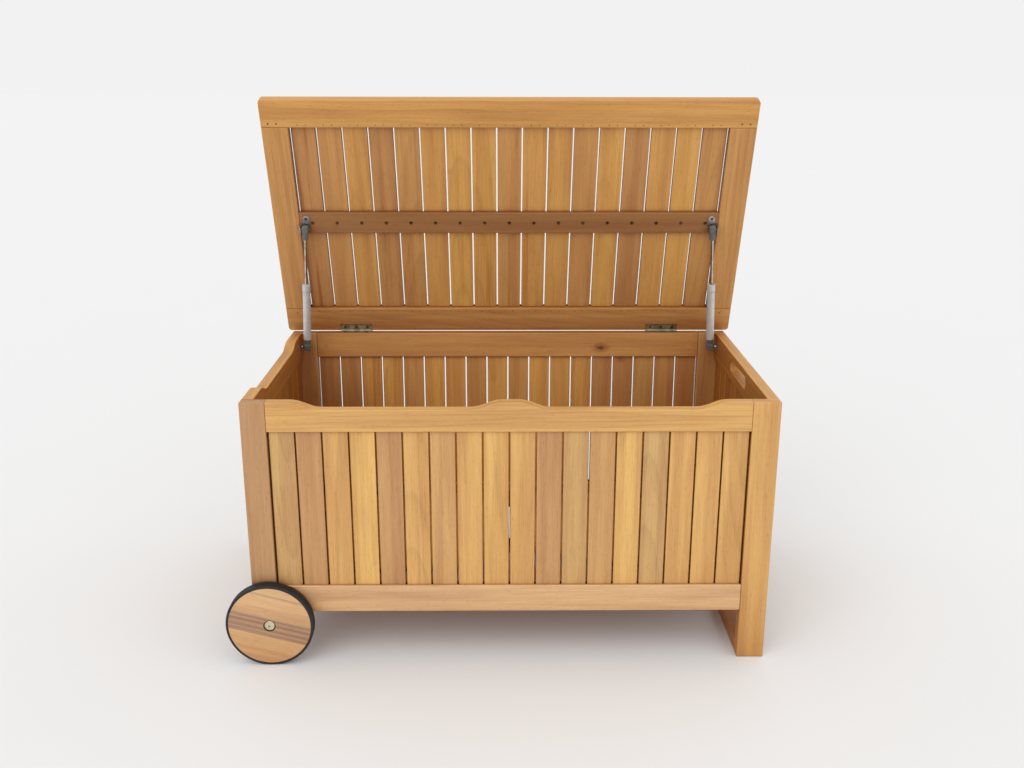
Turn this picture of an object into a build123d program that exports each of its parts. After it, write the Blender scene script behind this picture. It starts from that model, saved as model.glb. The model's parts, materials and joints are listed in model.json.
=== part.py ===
"""Slatted acacia deck storage box on two wheels, with a lid held open by two gas springs.

Millimetres. X runs along the box with the wheels at -X and the carrying handle at +X, Y runs from
the front to the back, and Z is up. The lid is modelled closed and then swung open about its hinge
pins. Everything is laid out about the middle of the box and shifted once, on export, so that the
origin is at the middle of the bounding box on the ground.
"""

import math
import os

from build123d import *

# ---- driving dimensions ------------------------------------------------------------------------
BODY_WIDTH = 1050.0  # outside the corner posts
BODY_DEPTH = 578.0
BODY_HEIGHT = 556.0  # top of the posts and rails
BOARD = 24.0  # thickness of posts and rails
EASE = 2.0  # rounding of the boards' edges
PAST = 1.0  # how far a cutter runs past the face that it opens

POST_WIDTH_WHEEL = 50.0  # posts at the wheel end
POST_WIDTH_HANDLE = 55.0  # posts at the handle end, which reach the ground
BACK_POST_EXTRA = 9.0  # how much wider each back post is than the front one
WHEEL_POST_FOOT = 50.0  # height of the wheel posts' lower ends
RAIL_HEIGHT = 60.0  # top rails
BOTTOM_RAIL_LOW = 108.0
BOTTOM_RAIL_HIGH = 166.0
FOOT_RAIL_HEIGHT = 24.0

SCOOP_DEPTH = 15.0  # finger gaps in the top edges of the front and wheel-end rails
SCOOP_RAMP = 36.0
SCOOP_RADIUS = 70.0  # of the bends at the ends of each ramp
FRONT_END_LAND = 59.0  # full-height lengths left at the ends and the middle of the front rail
FRONT_MID_LAND = 58.0
SIDE_END_LAND = 82.0
HANDLE_LENGTH = 154.0
HANDLE_HEIGHT = 27.0
HANDLE_Z = 528.0

SLAT_THICK = 12.0
SLAT_GAP = 3.2
SLAT_EASE = 1.6
TONGUE = 8.0  # how far a slat's end enters its groove
GROOVE_DEPTH = 9.0
GROOVE_PLAY = 0.3
LONG_SLATS = 18  # slats across the front and the back
END_SLATS = 9  # slats across each end
FLOOR_BOARDS = 18
FLOOR_PLAY = 0.5  # between the floor and the walls
CLEAT = 20.0  # section of the cleats that carry the floor
CLEAT_SHORT = 10.0  # how far a cleat stops from the posts

DOWEL_R = 4.0
DOWEL_LENGTH = 36.0
DOWEL_SPREAD = 12.0  # each side of the middle of a rail's end
PLUG_R = 6.0
PLUG_DEEP = 5.0
PLUG_FROM_POST = 22.0
PLUG_BELOW_TOP = 32.0

LID_OVERHANG_SIDE = 12.0
LID_OVERHANG_FRONT = 4.0
LID_CORNER = 8.0  # radius of the lid's corners
LID_THICK = 22.0
LID_RAIL = 62.0
LID_STILE = 58.5
LID_SLATS = 17
LID_TONGUE_THICK = 6.0
LID_OPEN = 71.0  # degrees, the modelled pose
LID_GAP = 1.0  # between the rails' tops and the closed lid
BATTEN_WIDTH = 52.0
BATTEN_THICK = LID_THICK - SLAT_THICK
BATTEN_FROM_PIN = 291.5

HINGE_LENGTH = 76.0
HINGE_X = 372.0
LEAF_REACH = 18.0  # from the back face of the box
LEAF_THICK = 2.0
LEAF_PLAY = 0.3
KNUCKLE_R = 3.4
KNUCKLES = 5
KNUCKLE_GAP = 0.15  # left at each end of a knuckle
PIN_R = 1.9
PIN_BORE_R = 1.95
PIN_PROUD = 0.8
LEAF_SCREW_X = (-27.0, 0.0, 27.0)
LEAF_SCREW_Y = 10.0

SCREW_R = 1.75
SCREW_HEAD_R = 3.5
SCREW_HEAD_HIGH = 1.9
SCREW_SLOT = 0.9  # width, length and depth of the cross recess
SCREW_SLOT_LONG = 3.8
SCREW_SLOT_DEEP = 0.8
SCREW_LONG = 16.0
SCREW_SHORT = 9.0
BATTEN_POCKET_R = 4.4
BATTEN_POCKET_DEEP = 2.0
BATTEN_SCREW = 14.0

STRUT_FOOT_X = 483.0
STRUT_HEAD_X = 465.0
STRUT_FOOT_FORWARD = 57.0  # the lower ball, from the hinge pin
STRUT_FOOT_DROP = 26.5
STRUT_HEAD_FROM_PIN = 282.0  # the upper ball, along the lid and below the pin when it is closed
STRUT_HEAD_DROP = 13.0
TUBE_R = 9.0
TUBE_WALL = 1.2
TUBE_START = 21.0  # along the strut, from the lower ball
TUBE_END = 160.0
TUBE_LIP = 1.5
COLLAR_LONG = 20.0  # slightly thicker length at the tube's top
COLLAR_PROUD = 0.5
CRIMP_BELOW = 17.0  # rolled groove below the tube's top
CRIMP_DEEP = 0.6
CRIMP_LONG = 2.4
ROD_R = 3.5
ROD_FIT = 0.05
PISTON_BELOW = 26.0
PISTON_LENGTH = 9.0
PISTON_FIT = 0.08
ROD_TAIL = 4.0
GUIDE_LENGTH = 10.0
GUIDE_BELOW = 1.5
BALL_R = 4.0
BALL_FIT = 0.12
STUD_R = 2.6
STUD_BORE_R = 3.3
FITTING_WIDE = 15.0
FITTING_LONG = 17.0
FITTING_EASE = 3.0
FITTING_NECK_R = 7.0
FITTING_NECK = 24.0  # from the ball to the neck's end
NECK_ROOT = 6.0  # where the neck starts, inside the fitting
ROD_INTO_NECK = 4.0
STUD_STOP = 1.6  # the lower stud stops this far from its fitting

PLATE_THICK = 2.0
FOOT_PLATE_WIDE = 18.0
FOOT_PLATE_HIGH = 24.0
FOOT_SCREW_DZ = 8.0
STRIP_R = 8.0  # half the width of the upper bracket's strip, and the radius of its ends
STRIP_INBOARD = 2.0  # from the strut's line to the strip's
STRIP_AHEAD = 21.0  # from the upper ball to the strip's outer eye
STRIP_BEHIND = 2.0  # from the upper ball to the middle of the strip's inner end
STRIP_SCREWS = (4.0, 21.0)  # ahead of the upper ball
FLANGE_OUT = 9.5  # from the strut's line to the flange that holds the stud
FLANGE_HALF = 8.0

WHEEL_R = 89.0
TYRE_THICK = 5.0
TYRE_EASE = 2.0
TREAD_AT = (0.36, 0.64)  # shares of the wheel's thickness
TREAD_WIDE = 1.6
TREAD_DEEP = 1.2
WHEEL_THICK = 22.0
WHEEL_X = -489.0
RIM_EASE = 1.2
WASHER_R = 13.0
WASHER_THICK = 2.5
BUSH_PROUD = 0.5  # the bush keeps the wheel clear of its washer
BUSH_R = 8.0
BUSH_FIT = 0.06
AXLE_R = 5.0
AXLE_HEAD_R = 11.0
AXLE_HEAD_HIGH = 4.0
AXLE_HEAD_EASE = 2.2
AXLE_POCKET_DEEP = 5.0
AXLE_POCKET_PLAY = 1.5
HEAD_FIT = 0.2  # the bolt's head from its pocket's floor
HEX_R = 3.1
HEX_DEEP = 2.5
INSERT_R = 7.5
INSERT_LENGTH = 20.0
INSERT_FLOOR = 3.0

# ---- derived places ----------------------------------------------------------------------------
HALF_W, HALF_D = BODY_WIDTH / 2, BODY_DEPTH / 2
INNER_LEFT = -HALF_W + POST_WIDTH_WHEEL
INNER_RIGHT = HALF_W - POST_WIDTH_HANDLE
BETWEEN_POSTS = {
    "front": (INNER_LEFT, INNER_RIGHT),
    "back": (INNER_LEFT + BACK_POST_EXTRA, INNER_RIGHT - BACK_POST_EXTRA),
}
INNER_W, INNER_D = HALF_W - BOARD, HALF_D - BOARD
MID_W, MID_D = HALF_W - BOARD / 2, HALF_D - BOARD / 2
RAIL_LOW = BODY_HEIGHT - RAIL_HEIGHT
PIN_Y = HALF_D
PIN_Z = BODY_HEIGHT + LID_GAP / 2
LID_LOW = BODY_HEIGHT + LID_GAP
LID_HALF = HALF_W + LID_OVERHANG_SIDE
LID_FRONT = -HALF_D - LID_OVERHANG_FRONT
LID_INNER_X = LID_HALF - LID_STILE
LID_INNER_FRONT = LID_FRONT + LID_RAIL
LID_INNER_BACK = HALF_D - LID_RAIL
BATTEN_Y = PIN_Y - BATTEN_FROM_PIN
AXLE_Z = WHEEL_R
WHEEL_IN = HALF_D + WASHER_THICK + BUSH_PROUD
WHEEL_OUT = WHEEL_IN + WHEEL_THICK
ORIGIN = Vector((LID_HALF + WHEEL_X - WHEEL_R) / 2, 0, 0)  # middle of the bounding box
SIDES = {"left": -1, "right": 1}
ENDS = {"front": -1, "back": 1}

nodes = {}


# ---- helpers -----------------------------------------------------------------------------------
def block(x, y, z, ease=0.0):
    """A board between the pairs x, y and z, with its edges rounded by ease."""
    size = [max(p) - min(p) for p in (x, y, z)]
    centre = [sum(p) / 2 for p in (x, y, z)]
    solid = Pos(*centre) * Box(*size)
    return fillet(solid.edges(), ease) if ease else solid


def bar_x(radius, x, y, z):
    """A round bar along X between the pair x."""
    return Pos(sum(x) / 2, y, z) * Rot(0, 90, 0) * Cylinder(radius, abs(x[1] - x[0]))


def bar_y(radius, y, x, z):
    """A round bar along Y between the pair y."""
    return Pos(x, sum(y) / 2, z) * Rot(90, 0, 0) * Cylinder(radius, abs(y[1] - y[0]))


def bar_z(radius, z, x=0, y=0):
    """A round bar along Z between the pair z."""
    return Pos(x, y, sum(z) / 2) * Cylinder(radius, abs(z[1] - z[0]))


def about(middle, width):
    """The pair of places half a width each side of the middle."""
    return (middle - width / 2, middle + width / 2)


def ball(radius, x, y, z):
    """A ball with its poles on the X axis, so that a stud along X meets it at a pole."""
    return Pos(x, y, z) * Rot(0, 90, 0) * Sphere(radius)


def group(solids):
    return Compound(children=list(solids))


def open_lid(shape):
    """Swings a shape modelled on the closed lid to the lid's open pose."""
    return shape.rotate(Axis((0, PIN_Y, PIN_Z), (1, 0, 0)), -LID_OPEN)


def slat_centres(low, high, count):
    """Centres of count slats between low and high, with a gap at both ends, and a slat's width."""
    pitch = (high - low - SLAT_GAP) / count
    first = low + SLAT_GAP / 2 + pitch / 2
    return [first + pitch * i for i in range(count)], pitch - SLAT_GAP


def countersunk(length):
    """A flat-headed screw's outline from its face at the origin, driven towards +Z."""
    head = Pos(0, 0, SCREW_HEAD_HIGH / 2) * Cone(SCREW_HEAD_R, SCREW_R, SCREW_HEAD_HIGH)
    return head + bar_z(SCREW_R, (0, length))


def slotted(screw):
    """The screw at the origin with a cross recess in its head."""
    deep = (-PAST, SCREW_SLOT_DEEP)
    one = block(about(0, SCREW_SLOT_LONG), about(0, SCREW_SLOT), deep)
    other = block(about(0, SCREW_SLOT), about(0, SCREW_SLOT_LONG), deep)
    return screw - one - other


def drive(names, places, length):
    """Cuts a countersunk screw at each place out of the named nodes, and returns the screws."""
    hole = countersunk(length)
    screw = slotted(hole)
    for name in names:
        nodes[name] -= [place * hole for place in places]
    return [place * screw for place in places]


# ---- posts and rails ---------------------------------------------------------------------------
def posts():
    for end, sy in ENDS.items():
        y = (sy * HALF_D, sy * INNER_D)
        low, high = BETWEEN_POSTS[end]
        wheel_post = block((-HALF_W, low), y, (WHEEL_POST_FOOT, BODY_HEIGHT), EASE)
        insert_y = (sy * HALF_D, sy * (HALF_D - INSERT_LENGTH))
        nodes[f"{end}_left_post"] = wheel_post - bar_y(INSERT_R, insert_y, WHEEL_X, AXLE_Z)
        nodes[f"{end}_right_post"] = block((high, HALF_W), y, (0, BODY_HEIGHT), EASE)
    foot_z = (0, FOOT_RAIL_HEIGHT)
    nodes["foot_rail"] = block((INNER_RIGHT, HALF_W), (-INNER_D, INNER_D), foot_z, EASE)


def scooped_rail(low, high, scoops):
    """A rail along X from low to high about y = 0, with a finger gap for each pair in scoops."""
    dip = BODY_HEIGHT - SCOOP_DEPTH
    points = [(low, RAIL_LOW), (low, BODY_HEIGHT)]
    for start, end in scoops:
        points += [(start, BODY_HEIGHT), (start + SCOOP_RAMP, dip)]
        points += [(end - SCOOP_RAMP, dip), (end, BODY_HEIGHT)]
    points += [(high, BODY_HEIGHT), (high, RAIL_LOW)]
    face = make_face(Polyline(*points, close=True))
    bends = [v for v in face.vertices() if low + PAST < v.X < high - PAST]
    rail = extrude(Plane.XZ * fillet(bends, SCOOP_RADIUS), BOARD / 2, both=True)
    return fillet(rail.faces().filter_by(Axis.Y).edges(), EASE)


def groove(span, middle, height, along):
    """A cutter for the slot that slat ends sit in, in the middle of a board's thickness."""
    across = about(middle, SLAT_THICK + 2 * GROOVE_PLAY)
    return block(span, across, height) if along == "x" else block(across, span, height)


def top_groove(span, middle, along):
    return groove(span, middle, (RAIL_LOW - PAST, RAIL_LOW + GROOVE_DEPTH), along)


def bottom_groove(span, middle, along):
    height = (BOTTOM_RAIL_HIGH - GROOVE_DEPTH, BOTTOM_RAIL_HIGH + PAST)
    return groove(span, middle, height, along)


def long_rails():
    span = BETWEEN_POSTS["front"]
    half_land = FRONT_MID_LAND / 2
    left_scoop = (INNER_LEFT + FRONT_END_LAND, -half_land)
    right_scoop = (half_land, INNER_RIGHT - FRONT_END_LAND)
    front = Pos(0, -MID_D, 0) * scooped_rail(*span, [left_scoop, right_scoop])
    nodes["front_top_rail"] = front - top_groove(span, -MID_D, "x")
    span = BETWEEN_POSTS["back"]
    back = block(span, (INNER_D, HALF_D), (RAIL_LOW, BODY_HEIGHT), EASE)
    nodes["back_top_rail"] = back - top_groove(span, MID_D, "x")
    for end, sy in ENDS.items():
        span = BETWEEN_POSTS[end]
        y = (sy * INNER_D, sy * HALF_D)
        bottom = block(span, y, (BOTTOM_RAIL_LOW, BOTTOM_RAIL_HIGH), EASE)
        nodes[f"{end}_bottom_rail"] = bottom - bottom_groove(span, sy * MID_D, "x")


def end_rails():
    span = (-INNER_D, INNER_D)
    for side, sx in SIDES.items():
        x = (sx * INNER_W, sx * HALF_W)
        bottom = block(x, span, (BOTTOM_RAIL_LOW, BOTTOM_RAIL_HIGH), EASE)
        nodes[f"{side}_bottom_rail"] = bottom - bottom_groove(span, sx * MID_W, "y")
    scoop = (-INNER_D + SIDE_END_LAND, INNER_D - SIDE_END_LAND)
    left = Pos(-MID_W, 0, 0) * Rot(0, 0, 90) * scooped_rail(*span, [scoop])
    nodes["left_top_rail"] = left - top_groove(span, -MID_W, "y")
    nodes["handle_rail"] = handle_rail(span) - top_groove(span, MID_W, "y")


def handle_rail(span):
    """The top rail at the handle end, with a round-ended hand slot through it."""
    rail = block((INNER_W, HALF_W), span, (RAIL_LOW, BODY_HEIGHT), EASE)
    slot = Plane((MID_W, 0, HANDLE_Z), x_dir=(0, 1, 0), z_dir=(1, 0, 0))
    rail -= extrude(slot * SlotOverall(HANDLE_LENGTH, HANDLE_HEIGHT), BOARD, both=True)
    rim = []
    for edge in rail.faces().filter_by(Axis.X).edges():
        middle = edge.center()
        within_height = abs(middle.Z - HANDLE_Z) < HANDLE_HEIGHT / 2 + PAST
        within_length = abs(middle.Y) < HANDLE_LENGTH / 2 + PAST
        if within_height and within_length:
            rim.append(edge)
    return fillet(rim, EASE)


# ---- joinery -----------------------------------------------------------------------------------
def dowels():
    """Dowels in pairs where each rail meets a post, and cover plugs in the back top rail."""
    half = DOWEL_LENGTH / 2
    top_z = (RAIL_LOW + BODY_HEIGHT) / 2
    bottom_z = (BOTTOM_RAIL_LOW + BOTTOM_RAIL_HIGH - GROOVE_DEPTH) / 2
    pins = []
    for level in (top_z, bottom_z):
        for z in (level - DOWEL_SPREAD, level + DOWEL_SPREAD):
            for end, sy in ENDS.items():
                for x in BETWEEN_POSTS[end]:
                    pins.append(bar_x(DOWEL_R, (x - half, x + half), sy * MID_D, z))
                for sx in SIDES.values():
                    y = (sy * INNER_D - half, sy * INNER_D + half)
                    pins.append(bar_y(DOWEL_R, y, sx * MID_W, z))
    foot_x = (INNER_RIGHT + HALF_W) / 2
    for sy in ENDS.values():
        for x in (foot_x - DOWEL_SPREAD, foot_x + DOWEL_SPREAD):
            y = (sy * INNER_D - half, sy * INNER_D + half)
            pins.append(bar_y(DOWEL_R, y, x, FOOT_RAIL_HEIGHT / 2))
    for name in [n for n in nodes if n.endswith(("_post", "_rail"))]:
        nodes[name] -= pins
    nodes["frame_dowels"] = group(pins)

    plugs = []
    plug_y = (INNER_D, INNER_D + PLUG_DEEP)
    low, high = BETWEEN_POSTS["back"]
    for x in (low + PLUG_FROM_POST, high - PLUG_FROM_POST):
        plugs.append(bar_y(PLUG_R, plug_y, x, BODY_HEIGHT - PLUG_BELOW_TOP))
    nodes["back_top_rail"] -= plugs
    nodes["cover_plugs"] = group(plugs)


# ---- slats and floor ---------------------------------------------------------------------------
def slat_panels():
    z = (BOTTOM_RAIL_HIGH - TONGUE, RAIL_LOW + TONGUE)
    thick = about(0, SLAT_THICK)
    for end, sy in ENDS.items():
        xs, width = slat_centres(*BETWEEN_POSTS[end], LONG_SLATS)
        long_slat = block(about(0, width), thick, z, SLAT_EASE)
        nodes[f"{end}_slats"] = group(Pos(x, sy * MID_D, 0) * long_slat for x in xs)
    ys, width = slat_centres(-INNER_D, INNER_D, END_SLATS)
    end_slat = block(thick, about(0, width), z, SLAT_EASE)
    for side, sx in SIDES.items():
        nodes[f"{side}_slats"] = group(Pos(sx * MID_W, y, 0) * end_slat for y in ys)


def floor():
    """Boards from front to back, on two cleats and a bearer under their middle."""
    low, high = BOTTOM_RAIL_LOW, BOTTOM_RAIL_LOW + CLEAT
    cleat_x = (INNER_LEFT + CLEAT_SHORT, INNER_RIGHT - CLEAT_SHORT)
    edges = [(-INNER_D, -INNER_D + CLEAT), (INNER_D - CLEAT, INNER_D)]
    nodes["floor_cleats"] = group(block(cleat_x, y, (low, high), EASE) for y in edges)
    span = (-INNER_W + FLOOR_PLAY, INNER_W - FLOOR_PLAY)
    nodes["floor_bearer"] = block(span, about(0, 2 * CLEAT), (low, high), EASE)
    xs, width = slat_centres(*span, FLOOR_BOARDS)
    y = (-INNER_D + FLOOR_PLAY, INNER_D - FLOOR_PLAY)
    plank = block(about(0, width), y, (high, high + SLAT_THICK), SLAT_EASE)
    nodes["floor_boards"] = group(Pos(x, 0, 0) * plank for x in xs)


# ---- lid ---------------------------------------------------------------------------------------
def corner_rail(rail, outer_y):
    """A rail of the lid with its two outer corners rounded, and its faces' edges eased."""
    upright = rail.edges().filter_by(Axis.Z)
    rail = fillet([e for e in upright if abs(e.center().Y - outer_y) < PAST], LID_CORNER)
    return fillet(rail.faces().filter_by(Axis.Z).edges(), EASE)


def lid():
    """The lid, closed. Its slats are flush with its top, and its batten with its underside."""
    z = (LID_LOW, LID_LOW + LID_THICK)
    slat_z = (LID_LOW + BATTEN_THICK, LID_LOW + LID_THICK)
    tongue_mid = sum(slat_z) / 2
    slot_z = about(tongue_mid, LID_TONGUE_THICK + 2 * GROOVE_PLAY)
    inner_x = (-LID_INNER_X, LID_INNER_X)
    full_x = (-LID_HALF, LID_HALF)
    front = corner_rail(block(full_x, (LID_FRONT, LID_INNER_FRONT), z), LID_FRONT)
    back = corner_rail(block(full_x, (LID_INNER_BACK, HALF_D), z), HALF_D)
    front_slot = (LID_INNER_FRONT - GROOVE_DEPTH, LID_INNER_FRONT + PAST)
    back_slot = (LID_INNER_BACK - PAST, LID_INNER_BACK + GROOVE_DEPTH)
    nodes["lid_front_rail"] = front - block(inner_x, front_slot, slot_z)
    nodes["lid_back_rail"] = back - block(inner_x, back_slot, slot_z)
    for side, sx in SIDES.items():
        x = (sx * LID_INNER_X, sx * LID_HALF)
        nodes[f"lid_{side}_stile"] = block(x, (LID_INNER_FRONT, LID_INNER_BACK), z, EASE)

    xs, width = slat_centres(*inner_x, LID_SLATS)
    body_y = (LID_INNER_FRONT + GROOVE_PLAY, LID_INNER_BACK - GROOVE_PLAY)
    tongue_y = (LID_INNER_FRONT - TONGUE, LID_INNER_BACK + TONGUE)
    slat = block(about(0, width), body_y, slat_z, SLAT_EASE)
    slat += block(about(0, width - 2 * EASE), tongue_y, about(tongue_mid, LID_TONGUE_THICK))
    nodes["lid_slats"] = group(Pos(x, 0, 0) * slat for x in xs)

    batten_z = (LID_LOW, LID_LOW + BATTEN_THICK)
    batten = block(inner_x, about(BATTEN_Y, BATTEN_WIDTH), batten_z, EASE)
    pocket = (LID_LOW - PAST, LID_LOW + BATTEN_POCKET_DEEP)
    nodes["lid_batten"] = batten - [bar_z(BATTEN_POCKET_R, pocket, x, BATTEN_Y) for x in xs]
    places = [Pos(x, BATTEN_Y, LID_LOW + BATTEN_POCKET_DEEP) for x in xs]
    nodes["batten_screws"] = group(drive(["lid_batten", "lid_slats"], places, BATTEN_SCREW))


# ---- hinges ------------------------------------------------------------------------------------
def hinge_leaf(x, sign):
    """A leaf with its knuckles, below the pin when sign is -1 and above it when sign is 1."""
    face = PIN_Z + sign * LID_GAP / 2
    z = (face, face + sign * LEAF_THICK)
    leaf_y = (HALF_D - LEAF_REACH, PIN_Y - KNUCKLE_R - LEAF_PLAY)
    leaf = block(about(x, HINGE_LENGTH), leaf_y, z)
    pitch = HINGE_LENGTH / KNUCKLES
    for i in range(KNUCKLES):
        belongs_below = i % 2 == 0
        if belongs_below != (sign < 0):
            continue
        start = x - HINGE_LENGTH / 2 + pitch * i
        span = (start + KNUCKLE_GAP, start + pitch - KNUCKLE_GAP)
        leaf += bar_x(KNUCKLE_R, span, PIN_Y, PIN_Z)
        leaf += block(span, (leaf_y[1] - PAST, PIN_Y), z)
    return leaf - bar_x(PIN_BORE_R, about(x, HINGE_LENGTH + 2 * PAST), PIN_Y, PIN_Z)


def leaf_pocket(x, sign):
    """A cutter that lets a leaf and its knuckles into a board."""
    face = PIN_Z + sign * LID_GAP / 2
    y = (HALF_D - LEAF_REACH - LEAF_PLAY, HALF_D + PAST)
    z = (face - sign * PAST, face + sign * LEAF_THICK)
    pocket = block(about(x, HINGE_LENGTH + 2 * LEAF_PLAY), y, z)
    pin_span = about(x, HINGE_LENGTH + 2 * (PIN_PROUD + LEAF_PLAY))
    return pocket + bar_x(KNUCKLE_R + LEAF_PLAY, pin_span, PIN_Y, PIN_Z)


def hinges():
    """Both hinges with the lid closed, let into the back rail and the lid."""
    boards = {-1: "back_top_rail", 1: "lid_back_rail"}
    leaves = {-1: "hinge_box_leaf", 1: "hinge_lid_leaf"}
    screws = {-1: [], 1: []}
    pins = []
    for side, sx in SIDES.items():
        x = sx * HINGE_X
        pins.append(bar_x(PIN_R, about(x, HINGE_LENGTH + 2 * PIN_PROUD), PIN_Y, PIN_Z))
        for sign, board in boards.items():
            name = f"{side}_{leaves[sign]}"
            nodes[name] = hinge_leaf(x, sign)
            nodes[board] -= leaf_pocket(x, sign)
            face = PIN_Z + sign * LID_GAP / 2
            turn = Rot(0, 0 if sign > 0 else 180, 0)
            places = [Pos(x + dx, HALF_D - LEAF_SCREW_Y, face) * turn for dx in LEAF_SCREW_X]
            screws[sign] += drive([name, board], places, SCREW_LONG)
    nodes["hinge_pins"] = group(pins)
    return screws[-1], screws[1]


# ---- gas springs -------------------------------------------------------------------------------
def strut_line():
    """The lower ball, the length between the balls when open and closed, and the open tilt.

    All of them are as seen from the end of the box. The slight lean inwards is strut_lean's.
    """
    foot = Vector(0, PIN_Y - STRUT_FOOT_FORWARD, PIN_Z - STRUT_FOOT_DROP)
    closed = Vector(0, PIN_Y - STRUT_HEAD_FROM_PIN, PIN_Z - STRUT_HEAD_DROP)
    arm = closed - Vector(0, PIN_Y, PIN_Z)
    reach = Vector(0, PIN_Y, PIN_Z) + arm.rotate(Axis.X, -LID_OPEN) - foot
    tilt = math.degrees(math.atan2(-reach.Y, reach.Z))
    return foot, reach.length, (closed - foot).length, tilt


def strut_lean(flat_length):
    """How far the struts lean inwards, in degrees, and their true length between the balls."""
    inwards = STRUT_FOOT_X - STRUT_HEAD_X
    return math.degrees(math.atan2(inwards, flat_length)), math.hypot(inwards, flat_length)


def end_fitting(at, outward, neck):
    """A moulded fitting on the strut's line, with a ball socket at height at and a neck."""
    body = Pos(0, 0, at) * Box(FITTING_WIDE, FITTING_WIDE, FITTING_LONG)
    body = fillet(body.edges(), FITTING_EASE)
    body += bar_z(FITTING_NECK_R, neck)
    body -= ball(BALL_R + BALL_FIT, 0, 0, at)
    return body - bar_x(STUD_BORE_R, (0, outward * FITTING_WIDE), 0, at)


def gas_springs():
    foot, flat_length, _, tilt = strut_line()
    lean, length = strut_lean(flat_length)
    inner_r = TUBE_R - TUBE_WALL
    for side, sx in SIDES.items():
        turn = Rot(tilt, 0, 0) * Rot(0, -sx * lean, 0)
        place = Pos(sx * STRUT_FOOT_X, foot.Y, foot.Z) * turn
        tube = bar_z(TUBE_R, (TUBE_START, TUBE_END))
        tube += bar_z(TUBE_R + COLLAR_PROUD, (TUBE_END - COLLAR_LONG, TUBE_END))
        tube = fillet(tube.faces().filter_by(Axis.Z).sort_by(Axis.Z)[-1].edges(), TUBE_WALL / 2)
        crimp = about(TUBE_END - CRIMP_BELOW, CRIMP_LONG)
        tube -= bar_z(TUBE_R + PAST, crimp) - bar_z(TUBE_R - CRIMP_DEEP, crimp)
        tube -= bar_z(inner_r, (TUBE_START + TUBE_LIP, TUBE_END - TUBE_LIP))
        tube -= bar_z(ROD_R + 2 * ROD_FIT, (TUBE_END - 2 * TUBE_LIP, TUBE_END + PAST))
        nodes[f"{side}_strut_tube"] = place * tube
        lower = end_fitting(0, sx, (NECK_ROOT, TUBE_START))
        nodes[f"{side}_strut_foot_fitting"] = place * lower

        guide_top = TUBE_END - GUIDE_BELOW
        guide_z = (guide_top - GUIDE_LENGTH, guide_top)
        guide = bar_z(inner_r, guide_z) - bar_z(ROD_R + ROD_FIT, guide_z)
        nodes[f"{side}_strut_rod_guide"] = place * guide

        piston_z = (TUBE_END - PISTON_BELOW - PISTON_LENGTH, TUBE_END - PISTON_BELOW)
        rod_top = length - FITTING_NECK + ROD_INTO_NECK
        nodes[f"{side}_strut_rod"] = place * bar_z(ROD_R, (piston_z[0] - ROD_TAIL, rod_top))
        piston = bar_z(inner_r - PISTON_FIT, piston_z) - bar_z(ROD_R, piston_z)
        nodes[f"{side}_strut_piston"] = place * piston
        upper = end_fitting(length, sx, (length - FITTING_NECK, length - NECK_ROOT))
        upper -= bar_z(ROD_R, (length - FITTING_NECK - PAST, rod_top))
        nodes[f"{side}_strut_head_fitting"] = place * upper


def foot_brackets():
    """Plates on the end rails, with studs that stop short of the struts' lower fittings."""
    foot, _, _, _ = strut_line()
    plate_in = INNER_W - PLATE_THICK
    ball_x = STRUT_FOOT_X + FITTING_WIDE / 2 + STUD_STOP + BALL_R
    plates = []
    for sx in SIDES.values():
        x = (sx * INNER_W, sx * plate_in)
        plate = block(x, about(foot.Y, FOOT_PLATE_WIDE), about(foot.Z, FOOT_PLATE_HIGH))
        plate += bar_x(STUD_R, (sx * plate_in, sx * ball_x), foot.Y, foot.Z)
        plates.append(plate + ball(BALL_R, sx * ball_x, foot.Y, foot.Z))
    nodes["foot_brackets"] = group(plates)

    rails = {-1: "left_top_rail", 1: "handle_rail"}
    heights = (foot.Z - FOOT_SCREW_DZ, foot.Z + FOOT_SCREW_DZ)
    screws = []
    for sx, rail in rails.items():
        places = [Pos(sx * plate_in, foot.Y, z) * Rot(0, sx * 90, 0) for z in heights]
        screws += drive(["foot_brackets", rail], places, SCREW_LONG)
    return screws


def head_brackets():
    """Strips under the lid's batten, each with a flange and a ball stud, with the lid closed."""
    y, z = PIN_Y - STRUT_HEAD_FROM_PIN, PIN_Z - STRUT_HEAD_DROP
    strip_z = (LID_LOW - PLATE_THICK, LID_LOW)
    ends = (y - STRIP_AHEAD, y + STRIP_BEHIND)
    screws = []
    for side, sx in SIDES.items():
        middle = sx * (STRUT_HEAD_X - STRIP_INBOARD)
        strip = block(about(middle, 2 * STRIP_R), ends, strip_z)
        for end in ends:
            strip += bar_z(STRIP_R, strip_z, middle, end)
        flange_x = (sx * (STRUT_HEAD_X + FLANGE_OUT), sx * (STRUT_HEAD_X + FLANGE_OUT + PLATE_THICK))
        flange_y = (y - FLANGE_HALF, y + FLANGE_HALF)
        strip += block((middle, flange_x[1]), flange_y, strip_z)
        strip += block(flange_x, flange_y, (z - FLANGE_HALF, LID_LOW))
        strip += bar_x(STUD_R, (sx * STRUT_HEAD_X, flange_x[0]), y, z)
        nodes[f"{side}_head_bracket"] = strip + ball(BALL_R, sx * STRUT_HEAD_X, y, z)
        places = [Pos(middle, y - ahead, strip_z[0]) for ahead in STRIP_SCREWS]
        screws += drive([f"{side}_head_bracket", "lid_batten"], places, SCREW_SHORT)
    return screws


def hardware():
    box_screws, lid_screws = hinges()
    nodes["box_screws"] = group(box_screws + foot_brackets())
    nodes["lid_screws"] = group(lid_screws + head_brackets())


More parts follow.
